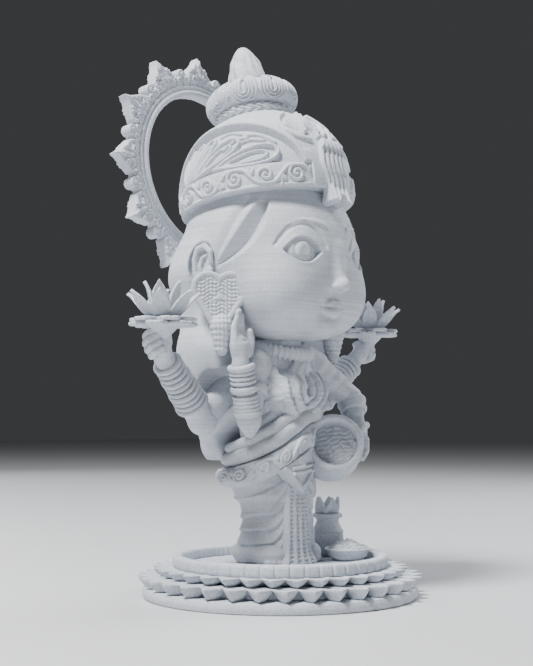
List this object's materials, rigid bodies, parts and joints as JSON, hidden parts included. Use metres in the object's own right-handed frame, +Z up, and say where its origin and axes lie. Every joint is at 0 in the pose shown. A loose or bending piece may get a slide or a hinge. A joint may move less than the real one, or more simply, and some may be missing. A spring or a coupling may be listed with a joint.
{
  "type": "deity statue",
  "caption": "Four-armed goddess figurine standing on a double lotus pedestal, with a tall crown, a spiked halo, two lotuses and offering pots.",
  "frame": {"origin": "centre of the base's underside", "axes": "+Z up, the figure faces -Y, its right hand is on the -X side"},
  "size_m": [0.1106, 0.0806, 0.1614],
  "materials": {
    "printed_skin": "matte, fine layer lines",
    "printed_cloth": "matte, fine grain",
    "printed_ornament": "matte, fine grain",
    "printed_pedestal": "matte, fine layer lines",
    "inner_pins": "matte"
  },
  "bodies": {
    "root": {"base_disc": "printed_pedestal", "lower_petal_ring": "printed_pedestal", "upper_petal_ring": "printed_pedestal", "seat_floor": "printed_pedestal", "seat_ring": "printed_pedestal", "standing_pins": "inner_pins", "right_foot": "printed_skin", "left_foot": "printed_skin", "skirt": "printed_cloth", "front_pleats": "printed_cloth", "front_apron": "printed_cloth", "hip_sash": "printed_cloth", "waist_roll": "printed_cloth", "torso": "printed_skin", "saree_drape": "printed_cloth", "chest_garland": "printed_ornament", "neck_post": "printed_skin", "head": "printed_skin", "veil": "printed_cloth", "right_ear": "printed_skin", "left_ear": "printed_skin", "right_earring": "printed_ornament", "left_earring": "printed_ornament", "crown_band": "printed_ornament", "crown_dome": "printed_ornament", "crown_side_panels": "printed_ornament", "crown_front_plate": "printed_ornament", "bun_collar": "printed_ornament", "bun": "printed_ornament", "finial": "printed_ornament", "halo_ring": "printed_ornament", "halo_peg": "inner_pins", "right_front_upper_arm": "printed_skin", "right_front_forearm": "printed_skin", "right_front_hand": "printed_skin", "right_front_bangles": "printed_ornament", "left_front_upper_arm": "printed_skin", "left_front_forearm": "printed_skin", "left_front_hand": "printed_skin", "left_front_bangles": "printed_ornament", "right_rear_upper_arm": "printed_skin", "right_rear_forearm": "printed_skin", "right_rear_hand": "printed_skin", "right_rear_bangles": "printed_ornament", "left_rear_upper_arm": "printed_skin", "left_rear_forearm": "printed_skin", "left_rear_hand": "printed_skin", "left_rear_bangles": "printed_ornament", "right_lotus_plate": "printed_ornament", "right_lotus_petals": "printed_ornament", "left_lotus_plate": "printed_ornament", "left_lotus_petals": "printed_ornament", "held_pot": "printed_ornament", "held_coins": "printed_ornament", "standing_pot": "printed_ornament", "standing_leaves": "printed_ornament", "coin_bowl": "printed_ornament", "bowl_coins": "printed_ornament"}
  },
  "joints": []
}
